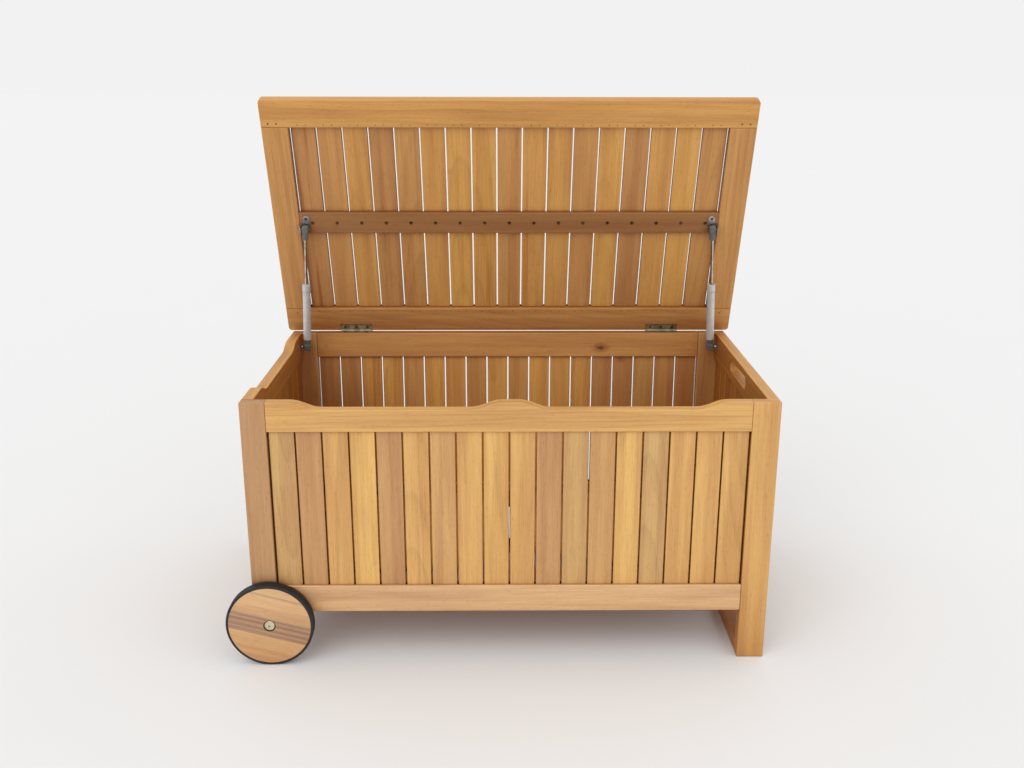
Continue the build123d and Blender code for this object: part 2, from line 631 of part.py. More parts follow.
# ---- wheels ------------------------------------------------------------------------------------
def wheel(end, sy):
    """One wheel: a wooden disc in a rubber tyre, turning on a bush."""
    y = (sy * WHEEL_IN, sy * WHEEL_OUT)
    pocket_floor = WHEEL_OUT - AXLE_POCKET_DEEP
    disc = bar_y(WHEEL_R - TYRE_THICK, y, WHEEL_X, AXLE_Z)
    disc = fillet(disc.edges().filter_by(GeomType.CIRCLE), RIM_EASE)
    disc -= bar_y(BUSH_R, y, WHEEL_X, AXLE_Z)
    pocket = (sy * pocket_floor, sy * (WHEEL_OUT + PAST))
    disc -= bar_y(AXLE_HEAD_R + AXLE_POCKET_PLAY, pocket, WHEEL_X, AXLE_Z)
    nodes[f"{end}_wheel_disc"] = disc

    tyre = bar_y(WHEEL_R, y, WHEEL_X, AXLE_Z)
    tyre = fillet(tyre.edges().filter_by(GeomType.CIRCLE), TYRE_EASE)
    for share in TREAD_AT:
        ring = about(sy * (WHEEL_IN + WHEEL_THICK * share), TREAD_WIDE)
        cut = bar_y(WHEEL_R + PAST, ring, WHEEL_X, AXLE_Z)
        tyre -= cut - bar_y(WHEEL_R - TREAD_DEEP, ring, WHEEL_X, AXLE_Z)
    nodes[f"{end}_tyre"] = tyre - bar_y(WHEEL_R - TYRE_THICK, y, WHEEL_X, AXLE_Z)

    bush_y = (sy * (WHEEL_IN - BUSH_PROUD + BUSH_FIT), sy * pocket_floor)
    bush = bar_y(BUSH_R, bush_y, WHEEL_X, AXLE_Z)
    nodes[f"{end}_wheel_bush"] = bush - bar_y(AXLE_R + BUSH_FIT, bush_y, WHEEL_X, AXLE_Z)


def axle(sy):
    """The bolt that a wheel turns on, its washer, and its threaded insert in the post."""
    head_in = sy * (WHEEL_OUT - AXLE_POCKET_DEEP + HEAD_FIT)
    head_out = head_in + sy * AXLE_HEAD_HIGH
    head = bar_y(AXLE_HEAD_R, (head_in, head_out), WHEEL_X, AXLE_Z)
    outer_edge = head.edges().filter_by(GeomType.CIRCLE).sort_by(Axis.Y)[0 if sy < 0 else -1]
    head = fillet(outer_edge, AXLE_HEAD_EASE)
    hexagon = Plane((WHEEL_X, head_out, AXLE_Z), z_dir=(0, 1, 0)) * RegularPolygon(HEX_R, 6)
    head -= extrude(hexagon, HEX_DEEP, both=True)
    bore_end = HALF_D - INSERT_LENGTH + INSERT_FLOOR
    bolt = head + bar_y(AXLE_R, (sy * bore_end, head_in), WHEEL_X, AXLE_Z)
    washer_y = (sy * HALF_D, sy * (HALF_D + WASHER_THICK))
    washer = bar_y(WASHER_R, washer_y, WHEEL_X, AXLE_Z)
    washer -= bar_y(AXLE_R, washer_y, WHEEL_X, AXLE_Z)
    insert = bar_y(INSERT_R, (sy * (HALF_D - INSERT_LENGTH), sy * HALF_D), WHEEL_X, AXLE_Z)
    insert -= bar_y(AXLE_R, (sy * bore_end, sy * (HALF_D + PAST)), WHEEL_X, AXLE_Z)
    return bolt, washer, insert


def wheels():
    for end, sy in ENDS.items():
        wheel(end, sy)
    bolts, washers, inserts = zip(*(axle(sy) for sy in ENDS.values()))
    nodes["axle_bolts"] = group(bolts)
    nodes["wheel_washers"] = group(washers)
    nodes["axle_inserts"] = group(inserts)


# ---- assembly ----------------------------------------------------------------------------------
def on_lid(name):
    """Whether a node swings with the lid. The struts are modelled open from the start."""
    return name.startswith(("lid_", "batten_")) or name.endswith(("lid_leaf", "head_bracket"))


def save_all():
    os.makedirs("parts", exist_ok=True)
    for name, shape in nodes.items():
        placed = open_lid(shape) if on_lid(name) else shape
        solids = [s.moved(Location(-ORIGIN)) for s in placed.solids()]
        whole = solids[0] if len(solids) == 1 else Compound(children=solids)
        export_step(whole, f"parts/{name}.step")


posts()
long_rails()
end_rails()
dowels()
slat_panels()
floor()
lid()
hardware()
gas_springs()
wheels()
save_all()
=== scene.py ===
"""Slatted acacia deck storage box: materials, small fixings, studio and camera around the CAD frame."""

import json
import math

import bpy
from mathutils import Matrix, Vector


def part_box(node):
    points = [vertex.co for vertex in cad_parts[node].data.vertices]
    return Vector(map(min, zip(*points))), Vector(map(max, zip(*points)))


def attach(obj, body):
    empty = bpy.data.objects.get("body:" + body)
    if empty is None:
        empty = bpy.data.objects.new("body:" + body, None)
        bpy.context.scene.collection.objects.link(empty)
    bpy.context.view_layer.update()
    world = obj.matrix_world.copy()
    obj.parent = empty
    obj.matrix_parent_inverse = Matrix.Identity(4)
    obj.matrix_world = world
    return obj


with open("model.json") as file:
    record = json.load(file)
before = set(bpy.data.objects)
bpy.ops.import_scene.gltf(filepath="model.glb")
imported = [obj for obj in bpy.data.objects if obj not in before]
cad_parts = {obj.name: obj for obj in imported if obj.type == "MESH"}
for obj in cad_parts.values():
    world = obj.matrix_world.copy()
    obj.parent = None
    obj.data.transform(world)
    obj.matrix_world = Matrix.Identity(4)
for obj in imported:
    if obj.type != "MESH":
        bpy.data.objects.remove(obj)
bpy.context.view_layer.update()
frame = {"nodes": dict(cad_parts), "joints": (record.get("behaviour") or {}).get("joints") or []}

# ---- places worked out from the frame ----------------------------------------------------------
LID_HINGE = next(j for j in frame["joints"] if j["name"] == "lid_hinge")
LID_OPEN = math.radians(LID_HINGE["range_deg"][1])
LID_PIN = Vector(LID_HINGE["pos_m"])
FRONT_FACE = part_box("front_left_post")[0][1]
BOX_MIDDLE_X = (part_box("front_left_post")[0][0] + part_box("front_right_post")[1][0]) / 2
FRONT_INNER = (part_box("front_top_rail")[0][0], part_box("front_top_rail")[1][0])
BACK_INNER = (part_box("back_top_rail")[0][0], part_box("back_top_rail")[1][0])
END_INNER = (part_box("handle_rail")[0][1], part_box("handle_rail")[1][1])
FLOOR_SPAN = (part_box("floor_boards")[0][0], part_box("floor_boards")[1][0])
LID_SPAN = (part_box("lid_slats")[0][0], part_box("lid_slats")[1][0])
LID_EDGES = (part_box("lid_front_rail")[0][0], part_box("lid_front_rail")[1][0])
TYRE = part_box("front_tyre")
AXLE = ((TYRE[0][0] + TYRE[1][0]) / 2, TYRE[1][2] / 2)
SLAT_GAP = 0.0032
LID_GAP = 0.001  # between the rails' tops and the closed lid
LID_RAIL = 0.062
LID_FAR_EDGE = 0.520  # from the hinge pin to the inner edge of the lid's front rail


def srgb(red, green, blue):
    """A display colour of 0 to 255 as linear values."""
    return tuple((c / 255 / 12.92) if c <= 10 else ((c / 255 + 0.055) / 1.055) ** 2.4
                 for c in (red, green, blue)) + (1.0,)


def tint(red, green, blue):
    """A colour that another is multiplied by, as linear values."""
    return (red, green, blue, 1.0)


# ---- node graph helper -------------------------------------------------------------------------
class Graph:
    """A material's nodes, with short calls for the kinds that this scene uses."""

    def __init__(self, name):
        self.material = bpy.data.materials.new(name)
        self.material.use_nodes = True
        self.tree = self.material.node_tree
        self.shader = self.tree.nodes["Principled BSDF"]

    def node(self, kind, inputs=(), **settings):
        made = self.tree.nodes.new("ShaderNode" + kind)
        for key, value in settings.items():
            setattr(made, key, value)
        for key, value in dict(inputs).items():
            self.feed(made.inputs[key], value)
        return made

    def feed(self, socket, value):
        if isinstance(value, bpy.types.NodeSocket):
            self.tree.links.new(value, socket)
        else:
            socket.default_value = value

    def math(self, operation, a, b=0.0, c=0.0):
        return self.node("Math", {0: a, 1: b, 2: c}, operation=operation).outputs[0]

    def coordinates(self):
        return self.node("TexCoord").outputs["Object"]

    def split(self, vector):
        return self.node("SeparateXYZ", {0: vector}).outputs

    def join(self, x, y, z):
        return self.node("CombineXYZ", {0: x, 1: y, 2: z}).outputs[0]

    def noise(self, vector, scale, detail=3.0, roughness=0.5, distortion=0.0):
        inputs = {"Vector": vector, "Scale": scale, "Detail": detail}
        inputs.update({"Roughness": roughness, "Distortion": distortion})
        return self.node("TexNoise", inputs).outputs["Fac"]

    def centred(self, value, whole):
        """A value of 0 to 1 as a length from minus half of the whole to plus half of it."""
        return self.math("MULTIPLY_ADD", value, whole, -whole / 2)

    def random(self, value, shift):
        moved = self.math("ADD", value, shift)
        return self.node("TexWhiteNoise", {"W": moved}, noise_dimensions="1D").outputs["Value"]

    def span(self, value, low, high, out_low=0.0, out_high=1.0):
        inputs = {"Value": value, "From Min": low, "From Max": high}
        inputs.update({"To Min": out_low, "To Max": out_high})
        return self.node("MapRange", inputs, interpolation_type="SMOOTHSTEP").outputs["Result"]

    def mix(self, factor, first, second, blend="MIX"):
        made = self.node("Mix", data_type="RGBA", blend_type=blend)
        self.feed(made.inputs[0], factor)
        self.feed(made.inputs[6], first)
        self.feed(made.inputs[7], second)
        return made.outputs[2]

    def bump(self, height, strength, distance):
        inputs = {"Height": height, "Strength": strength, "Distance": distance}
        self.feed(self.shader.inputs["Normal"], self.node("Bump", inputs).outputs[0])

    def edge(self, radius, low, high):
        """1 along a convex or concave edge and 0 on flat faces."""
        rounded = self.node("Bevel", {"Radius": radius}, samples=6).outputs[0]
        plain = self.node("NewGeometry").outputs["Normal"]
        same = self.node("VectorMath", {0: rounded, 1: plain}, operation="DOT_PRODUCT").outputs["Value"]
        return self.span(same, high, low)

    def crevice(self, distance):
        """0 in joints and gaps, 1 in the open."""
        return self.node("AmbientOcclusion", {"Distance": distance}, samples=6).outputs["AO"]


# ---- wood --------------------------------------------------------------------------------------
# Boards are cut from lighter and darker stock. These are the tones of that stock, and each row of
# letters below gives the slats of one panel theirs, in the order of their places along the panel.
TONES = {
    "b": srgb(232, 187, 112),  # bright
    "g": srgb(225, 178, 109),  # golden
    "t": srgb(215, 169, 110),  # tan
    "p": srgb(205, 159, 107),  # pinkish
    "o": srgb(212, 172, 113),  # olive
    "k": srgb(193, 150, 106),  # brown
    "d": srgb(169, 127, 84),  # dark
    "w": srgb(228, 188, 140),  # pale, as the wheels
}
FRONT_TONES = "opgbpgtgbgpotboggg"
BACK_TONES = "ppgbtbgtbtbggppotp"
LID_TONES = "ptgptgbbtggtbpgbt"
PAINTED_INDOOR_SHADE = tint(0.91, 0.78, 0.60)  # painted shade on the boards inside the box and on the lid
SOFT_BAND = tint(0.84, 0.77, 0.78)
HEART = tint(0.74, 0.56, 0.46)
GREY_ARC = tint(0.76, 0.74, 0.76)
STRIPE = tint(0.68, 0.70, 0.86)
PAINTED_DEEP_SHADE = tint(0.64, 0.46, 0.29)  # painted shade deep inside the box, laid on where ambient occlusion finds walls
PAINTED_INNER_FACE_SHADE = tint(0.70, 0.56, 0.38)  # painted shade on the inner faces of the two ends
FIBRE = tint(0.88, 0.83, 0.78)
PORE = tint(0.55, 0.44, 0.36)
# Painted highlight along the rounded edges of the boards, where they catch the light.
PAINTED_EDGE_HIGHLIGHT = tint(1.16, 1.15, 1.13)
DARK_JOINT = srgb(74, 32, 10)
KNOT = srgb(92, 56, 34)
KNOT_RING = tint(0.62, 0.50, 0.42)

RINGS_PER_METRE = 105.0
PITH_DEPTH = 0.052  # how far the pith lies behind a board's face, at the least
PITH_SPREAD = 0.030
PITH_LEAN = 0.16  # the range of slopes between the pith and the board
PITH_ASIDE = 0.05  # the range of its places across the board
RING_BOW = 0.034  # how much the rings wander across the board
RUN_STEP = 7.3  # how far apart the boards of a panel are in the noises
# Each noise's scale along and across the grain.
BOW_SCALE = (2.2, 14.0)
SOFT_SCALE = (1.3, 34.0)
HEART_SCALE = (1.6, 62.0)
CLOUD_SCALE = (5.0, 22.0)
FIBRE_SCALE = (9.0, 520.0)
PORE_SCALE = (60.0, 1100.0)
ROOM_REACH = 0.40  # how far the painted shade looks for walls
JOINT_REACH = 0.008
EDGE_HIGHLIGHT_RADIUS = 0.0015
KNOT_SCALE = 190.0
KNOT_WOBBLE = 0.008
FIRST_SEED = 101.0
SEED_STEP = 7.0

# Knots, from the middle of the box and from the top of their board or from the hinge pin.
BACK_KNOT = (0.2735, 0.014)
RAIL_KNOT = (0.223, 0.037)
LID_KNOT = (-0.1356, 0.4135)
# The wheels' grain, and their darker stripes: place above the axle, half width and strength.
WHEEL_GRAIN_TILT = math.radians(-15)
WHEEL_STRIPES = (
    (-0.002, 0.023, 0.7), (0.012, 0.0035, 0.9), (0.002, 0.0030, 0.9),
    (-0.010, 0.0035, 0.9), (-0.021, 0.0040, 0.9), (0.064, 0.0035, 0.6),
)
AXES = {"x": 0, "y": 1, "z": 2}


def closed_lid_coordinates(graph):
    """Object coordinates of the lid swung back to where it is closed."""
    inputs = {"Vector": graph.coordinates(), "Center": LID_PIN, "Axis": (1, 0, 0), "Angle": LID_OPEN}
    return graph.node("VectorRotate", inputs, rotation_type="AXIS_ANGLE").outputs[0]


def slat_tone(graph, tones, index):
    """The tone of each slat of a panel, from a letter for each slat."""
    ramp = graph.node("ValToRGB")
    stops = ramp.color_ramp
    stops.interpolation = "CONSTANT"
    while len(stops.elements) < len(tones):
        stops.elements.new(1.0)
    for number, letter in enumerate(tones):
        stops.elements[number].position = number / len(tones)
        stops.elements[number].color = TONES[letter]
    middle = graph.math("MULTIPLY_ADD", index, 1 / len(tones), 0.5 / len(tones))
    graph.feed(ramp.inputs[0], middle)
    return ramp.outputs["Color"]


def wood(name, along, across, seed, tones="g", span=None, indoor_shade=0.0, red=0.35, arcs=0.5,
         on_lid=False, tilt=0.0, knots=(), stripes=(), inward=None):
    """Oiled acacia with its grain along one axis.

    tones has a letter for each slat between the two ends of span, or one letter for a board.
    red is how strong the heartwood streaks are, and arcs the share of slats with cathedral grain.
    inward is the direction in which a side panel faces the inside of the box; faces turned that way get
    painted shade. indoor_shade is how strongly the whole board is darkened with painted shade.
    """
    graph = Graph(name)
    vector = closed_lid_coordinates(graph) if on_lid else graph.coordinates()
    if tilt:
        inputs = {"Vector": vector, "Center": (AXLE[0], 0, AXLE[1]), "Axis": (0, 1, 0), "Angle": tilt}
        vector = graph.node("VectorRotate", inputs, rotation_type="AXIS_ANGLE").outputs[0]
    parts = graph.split(vector)
    long_way = parts[AXES[along]]
    wide_way = parts[AXES[across]]
    deep_way = parts[3 - AXES[along] - AXES[across]]

    index, wide_here = 0.0, wide_way
    if span:
        pitch = (span[1] - span[0]) / len(tones)
        index = graph.math("FLOOR", graph.math("MULTIPLY_ADD", wide_way, 1 / pitch, -span[0] / pitch))
        centre = graph.math("MULTIPLY_ADD", index, pitch, span[0] + pitch / 2)
        wide_here = graph.math("SUBTRACT", wide_way, centre)
    shift, slant, streaky, arched = (graph.random(index, seed + step) for step in (0.4, 5.7, 9.1, 13.9))

    # The growth rings are cones about a pith that lies well behind the board's face.
    run = graph.math("MULTIPLY_ADD", shift, RUN_STEP, long_way)
    bow_at = graph.join(graph.math("MULTIPLY", run, BOW_SCALE[0]),
                        graph.math("MULTIPLY", wide_here, BOW_SCALE[1]), seed)
    bow = graph.centred(graph.noise(bow_at, 1.0, 2.0), RING_BOW)
    wide = graph.math("ADD", graph.centred(shift, PITH_ASIDE), graph.math("ADD", wide_here, bow))
    lean = graph.centred(slant, PITH_LEAN)
    deep = graph.math("ADD", graph.math("MULTIPLY_ADD", streaky, PITH_SPREAD, PITH_DEPTH),
                      graph.math("MULTIPLY_ADD", long_way, lean, deep_way if not span else 0.0))
    radius = graph.math("SQRT", graph.math("ADD", graph.math("POWER", wide, 2.0),
                                           graph.math("POWER", deep, 2.0)))
    uneven_at = graph.join(graph.math("MULTIPLY", radius, 60.0), graph.math("MULTIPLY", run, 0.8), seed)
    uneven = graph.noise(uneven_at, 1.5, 3.0, 0.55)
    saw = graph.math("FRACT", graph.math("MULTIPLY_ADD", radius, RINGS_PER_METRE, uneven))
    arc = graph.math("MULTIPLY", graph.math("POWER", saw, 3.0), graph.span(saw, 1.0, 0.9))
    arc = graph.math("MULTIPLY", arc, graph.span(arched, 1.0 - arcs, 1.05 - arcs, 0.25, 1.0))

    def stretched(scales):
        """Coordinates for a noise drawn out along the grain, different on every slat."""
        run_scale, wide_scale = scales
        return graph.join(graph.math("MULTIPLY", run, run_scale),
                          graph.math("MULTIPLY_ADD", wide_here, wide_scale,
                                     graph.math("MULTIPLY", shift, 31.0)),
                          graph.math("MULTIPLY_ADD", deep_way, wide_scale, seed))

    soft = graph.noise(stretched(SOFT_SCALE), 1.0, 2.0, 0.5, 0.4)
    heart = graph.noise(stretched(HEART_SCALE), 1.0, 3.0, 0.55, 0.5)
    cloud = graph.noise(stretched(CLOUD_SCALE), 1.0, 3.0)
    fibre = graph.noise(stretched(FIBRE_SCALE), 1.0, 4.0, 0.62)
    pore = graph.span(graph.noise(stretched(PORE_SCALE), 1.0, 1.0, 0.4), 0.64, 0.74)

    colour = slat_tone(graph, tones, index) if span else TONES[tones]
    colour = graph.mix(graph.span(soft, 0.42, 0.64, 0.0, 0.85), colour, SOFT_BAND, "MULTIPLY")
    vein = graph.math("MULTIPLY", graph.span(heart, 0.52, 0.70), graph.span(streaky, 0.35, 0.95))
    colour = graph.mix(graph.math("MULTIPLY", vein, red), colour, HEART, "MULTIPLY")
    colour = graph.mix(graph.span(cloud, 0.45, 0.75, 0.0, 0.45), colour, SOFT_BAND, "MULTIPLY")
    colour = graph.mix(graph.math("MULTIPLY", arc, 0.62), colour, GREY_ARC, "MULTIPLY")
    colour = graph.mix(graph.span(fibre, 0.32, 0.72), colour, FIBRE, "MULTIPLY")
    colour = graph.mix(graph.math("MULTIPLY", pore, 0.5), colour, PORE, "MULTIPLY")
    for offset, half, strength in stripes:
        colour = stripe(graph, colour, wide_way, cloud, offset, half, strength)
    for spot, squeeze in knots:
        colour = knot(graph, vector, colour, spot, squeeze)
    # Painted shade: boards inside the box and on the lid are darkened by this share.
    if indoor_shade:
        colour = graph.mix(indoor_shade, colour, PAINTED_INDOOR_SHADE, "MULTIPLY")
    # Painted shade on the faces turned towards inward, the inside of the box.
    if inward:
        normal = graph.node("NewGeometry").outputs["Normal"]
        facing = graph.node("VectorMath", {0: normal, 1: inward}, operation="DOT_PRODUCT").outputs["Value"]
        colour = graph.mix(graph.span(facing, 0.3, 0.9), colour, PAINTED_INNER_FACE_SHADE, "MULTIPLY")
    # Painted shade: darker where ambient occlusion within ROOM_REACH finds the box's walls.
    inside = graph.span(graph.crevice(ROOM_REACH), 0.32, 0.82, 1.0, 0.0)
    colour = graph.mix(inside, colour, PAINTED_DEEP_SHADE, "MULTIPLY")
    joint = graph.span(graph.crevice(JOINT_REACH), 0.10, 0.62, 0.70, 0.0)
    colour = graph.mix(joint, colour, DARK_JOINT)
    # Painted highlight: the boards' rounded edges are lightened as if catching the light.
    edge_wear_and_highlight = graph.math("MULTIPLY", graph.edge(EDGE_HIGHLIGHT_RADIUS, 0.86, 0.995), graph.span(cloud, 0.3, 0.7, 0.4, 0.9))
    colour = graph.mix(edge_wear_and_highlight, colour, PAINTED_EDGE_HIGHLIGHT, "MULTIPLY")
    graph.feed(graph.shader.inputs["Base Color"], colour)

    sheen = graph.math("MULTIPLY_ADD", fibre, 0.18, 0.44)
    graph.feed(graph.shader.inputs["Roughness"], graph.math("MULTIPLY_ADD", pore, 0.15, sheen))
    graph.shader.inputs["Specular IOR Level"].default_value = 0.32
    relief = graph.math("SUBTRACT", graph.math("MULTIPLY", fibre, 0.5), graph.math("MULTIPLY", pore, 0.8))
    graph.bump(graph.math("MULTIPLY_ADD", arc, 0.2, relief), 0.25, 0.0004)
    return graph.material


def stripe(graph, colour, wide_way, cloud, offset, half, strength):
    """A darker stripe along the grain, its middle at offset above the axle and half to either side."""
    from_middle = graph.math("ABSOLUTE", graph.math("SUBTRACT", wide_way, AXLE[1] + offset))
    ragged = graph.math("MULTIPLY_ADD", cloud, half * 0.8, from_middle)
    inside = graph.span(ragged, half * 1.5, half * 1.1, 0.0, strength)
    return graph.mix(inside, colour, STRIPE, "MULTIPLY")


def knot(graph, vector, colour, spot, squeeze):
    """A small dark knot centred on spot, with a soft ring about it; squeeze below 1 draws it out in x."""
    offset = graph.node("VectorMath", {0: vector, 1: spot}, operation="SUBTRACT").outputs["Vector"]
    shaped = graph.node("VectorMath", {0: offset, 1: (squeeze, 1.0, 1.0)}, operation="MULTIPLY")
    away = graph.node("VectorMath", {0: shaped.outputs["Vector"]}, operation="LENGTH").outputs["Value"]
    ragged = graph.math("MULTIPLY_ADD", graph.noise(vector, KNOT_SCALE, 3.0), KNOT_WOBBLE, away)
    colour = graph.mix(graph.span(ragged, 0.020, 0.009, 0.0, 0.8), colour, KNOT_RING, "MULTIPLY")
    return graph.mix(graph.span(ragged, 0.0095, 0.006, 0.0, 0.85), colour, KNOT)


# ---- metal, rubber and plastic -----------------------------------------------------------------
def metal(name, clean, dull, rough, scratch=0.15, streak=(40, 40, 900), metallic=1.0):
    """Metal with patches of tarnish, fine scratches, and brighter worn edges."""
    graph = Graph(name)
    at = graph.coordinates()
    patch = graph.noise(at, 70.0, 4.0, 0.6)
    parts = graph.split(at)
    fine_at = graph.join(*(graph.math("MULTIPLY", parts[i], float(streak[i])) for i in range(3)))
    fine = graph.noise(fine_at, 1.0, 3.0, 0.6)
    colour = graph.mix(graph.span(patch, 0.38, 0.66), clean, dull)
    edge_wear_and_highlight = graph.math("MULTIPLY", graph.edge(0.0006, 0.85, 0.99), 0.6)
    colour = graph.mix(edge_wear_and_highlight, colour, clean)
    colour = graph.mix(graph.span(graph.crevice(0.004), 0.2, 0.8, 0.5, 0.0), colour, srgb(40, 36, 30))
    graph.feed(graph.shader.inputs["Base Color"], colour)
    graph.shader.inputs["Metallic"].default_value = metallic
    graph.feed(graph.shader.inputs["Roughness"], graph.math("MULTIPLY_ADD", patch, 0.25, rough - 0.1))
    graph.bump(fine, scratch, 0.0002)
    return graph.material


def moulded(name, clean, dusty, rough, grain=900.0, depth=0.0002):
    """Moulded plastic or rubber: fine grain, dust in patches and scuffed edges."""
    graph = Graph(name)
    at = graph.coordinates()
    dust = graph.noise(at, 28.0, 5.0, 0.65)
    pits = graph.noise(at, grain, 2.0, 0.5)
    scuff = graph.math("MULTIPLY", graph.edge(0.0008, 0.85, 0.99), 0.45)
    factor = graph.math("ADD", graph.span(dust, 0.45, 0.8, 0.0, 0.35), scuff)
    graph.feed(graph.shader.inputs["Base Color"], graph.mix(factor, clean, dusty))
    graph.feed(graph.shader.inputs["Roughness"], graph.math("MULTIPLY_ADD", dust, 0.2, rough - 0.1))
    graph.bump(pits, 0.3, depth)
    return graph.material


# ---- assigning materials to the CAD nodes ------------------------------------------------------
def put(node, material):
    piece = bpy.data.objects[node]
    piece.data.materials.clear()
    piece.data.materials.append(material)


def widened(span, by):
    return (span[0] - by, span[1] + by)


def dress_wood():
    """Each board gets its own seed, and its grain runs along its own length."""
    half_gap = SLAT_GAP / 2
    front_span = widened(FRONT_INNER, -half_gap)
    back_span = widened(BACK_INNER, -half_gap)
    end_span = widened(END_INNER, -half_gap)
    floor_span = widened(FLOOR_SPAN, half_gap)
    lid_span = widened(LID_SPAN, half_gap)
    back_knot = (BOX_MIDDLE_X + BACK_KNOT[0], END_INNER[1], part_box("back_slats")[1][2] - BACK_KNOT[1])
    rail_knot = (BOX_MIDDLE_X + RAIL_KNOT[0], END_INNER[1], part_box("back_top_rail")[1][2] - RAIL_KNOT[1])
    lid_knot = (BOX_MIDDLE_X + LID_KNOT[0], LID_PIN.y - LID_KNOT[1], LID_PIN.z)

    put("front_slats", wood("front_slats", "z", "x", 3.0, FRONT_TONES, front_span, arcs=0.45))
    put("back_slats", wood("back_slats", "z", "x", 19.0, BACK_TONES, back_span, 1.0, 0.7,
                           knots=[(back_knot, 1.0)]))
    put("left_slats", wood("left_slats", "z", "y", 41.0, "gtpbgotbg", end_span, 0.4,
                           inward=(1, 0, 0)))
    put("right_slats", wood("right_slats", "z", "y", 57.0, "tgbopgtbg", end_span, 0.4,
                            inward=(-1, 0, 0)))
    put("floor_boards", wood("floor_boards", "y", "x", 71.0, BACK_TONES, floor_span, 0.6, 0.6))
    put("lid_slats", wood("lid_slats", "y", "x", 83.0, LID_TONES, lid_span, 0.8, 1.0, 0.3,
                          on_lid=True, knots=[(lid_knot, 1.0)]))

    # Each rail's last number is how much painted indoor shade it gets.
    rails = [
        ("front_top_rail", "x", "g", 0.0), ("front_bottom_rail", "x", "w", 0.0),
        ("back_bottom_rail", "x", "t", 0.3), ("floor_bearer", "x", "t", 0.6),
        ("floor_cleats", "x", "t", 0.6), ("left_top_rail", "y", "g", 0.2),
        ("handle_rail", "y", "g", 0.2), ("left_bottom_rail", "y", "t", 0.2),
        ("right_bottom_rail", "y", "g", 0.2), ("foot_rail", "y", "t", 0.2),
    ]
    # Rails whose inner faces get painted shade, with the direction those faces turn.
    facing = {"left_top_rail": (1, 0, 0), "handle_rail": (-1, 0, 0)}
    seed = FIRST_SEED
    for name, along, tones, indoor_shade in rails:
        put(name, wood(name, along, "z", seed, tones, indoor_shade=indoor_shade, arcs=1.0,
                       inward=facing.get(name)))
        seed += SEED_STEP
    put("back_top_rail", wood("back_top_rail", "x", "z", 211.0, "t", indoor_shade=1.0, knots=[(rail_knot, 0.55)]))
    posts = [("front_left_post", "k"), ("front_right_post", "g"), ("back_left_post", "t"),
             ("back_right_post", "t")]
    for name, tones in posts:
        put(name, wood(name, "z", "x", seed, tones, indoor_shade=0.2 if "back" in name else 0.0))
        seed += SEED_STEP
    for name, along, across, tones in (("lid_front_rail", "x", "y", "g"), ("lid_back_rail", "x", "y", "t"),
                                       ("lid_batten", "x", "y", "d"), ("lid_left_stile", "y", "x", "t"),
                                       ("lid_right_stile", "y", "x", "t")):
        put(name, wood(name, along, across, seed, tones, indoor_shade=0.8, red=0.6, arcs=1.0, on_lid=True))
        seed += SEED_STEP
    for name in ("front_wheel_disc", "back_wheel_disc"):
        put(name, wood(name, "x", "z", seed, "w", red=0.5, tilt=WHEEL_GRAIN_TILT,
                       stripes=WHEEL_STRIPES))
        seed += SEED_STEP
    for name in ("frame_dowels", "cover_plugs"):
        put(name, wood(name, "x", "z", seed, "p", indoor_shade=0.6))
        seed += SEED_STEP


def dress_fittings():
    """Hinges, gas springs, brackets, screws, axles and tyres."""
    hinge = metal("aged_hinge", srgb(172, 162, 138), srgb(132, 122, 98), 0.40)
    bracket = metal("zinc_bracket", srgb(206, 208, 210), srgb(158, 160, 162), 0.34)
    screw = metal("dark_screw", srgb(132, 112, 90), srgb(82, 64, 46), 0.45)
    axle = metal("yellow_zinc", srgb(222, 216, 184), srgb(190, 182, 146), 0.30)
    rod = metal("plated_rod", srgb(205, 200, 190), srgb(160, 152, 140), 0.20, 0.06)
    tube = metal("silver_tube", srgb(206, 206, 204), srgb(194, 194, 192), 0.42, 0.06, metallic=0.3)
    fitting = moulded("grey_fitting", srgb(92, 96, 92), srgb(132, 136, 132), 0.5)
    bush = moulded("plain_bush", srgb(70, 70, 70), srgb(120, 120, 118), 0.5)
    rubber = moulded("tyre_rubber", srgb(28, 31, 34), srgb(62, 64, 64), 0.72, 700.0, 0.0004)
    endings = {
        "leaf": hinge, "hinge_pins": hinge, "bracket": bracket, "brackets": bracket, "screws": screw,
        "axle_bolts": axle, "axle_inserts": axle, "wheel_washers": axle, "strut_rod": rod,
        "strut_tube": tube, "fitting": fitting, "wheel_bush": bush, "rod_guide": bush, "piston": bush,
        "tyre": rubber,
    }
    for name in frame["nodes"]:
        for ending, material in endings.items():
            if name.endswith(ending):
                put(name, material)


# ---- small fixings on the lid ------------------------------------------------------------------
BRAD_R = 0.0013
BRAD_HIGH = 0.0003
BRAD_SPREAD = 0.009  # each side of a slat's middle
BRAD_INSET = 0.0065  # from the inner edge of a lid rail
CORNER_R = 0.0022
FAR_CORNERS = ((0.016, 0.009), (0.034, 0.009))  # from the lid's end and from the rail's inner edge
NEAR_CORNERS = ((0.027, 0.012),)
DOME_SIDES = 14
DOME_RINGS = ((1.0, -0.6), (1.0, 0.1), (0.72, 0.7))  # shares of the radius and of the height


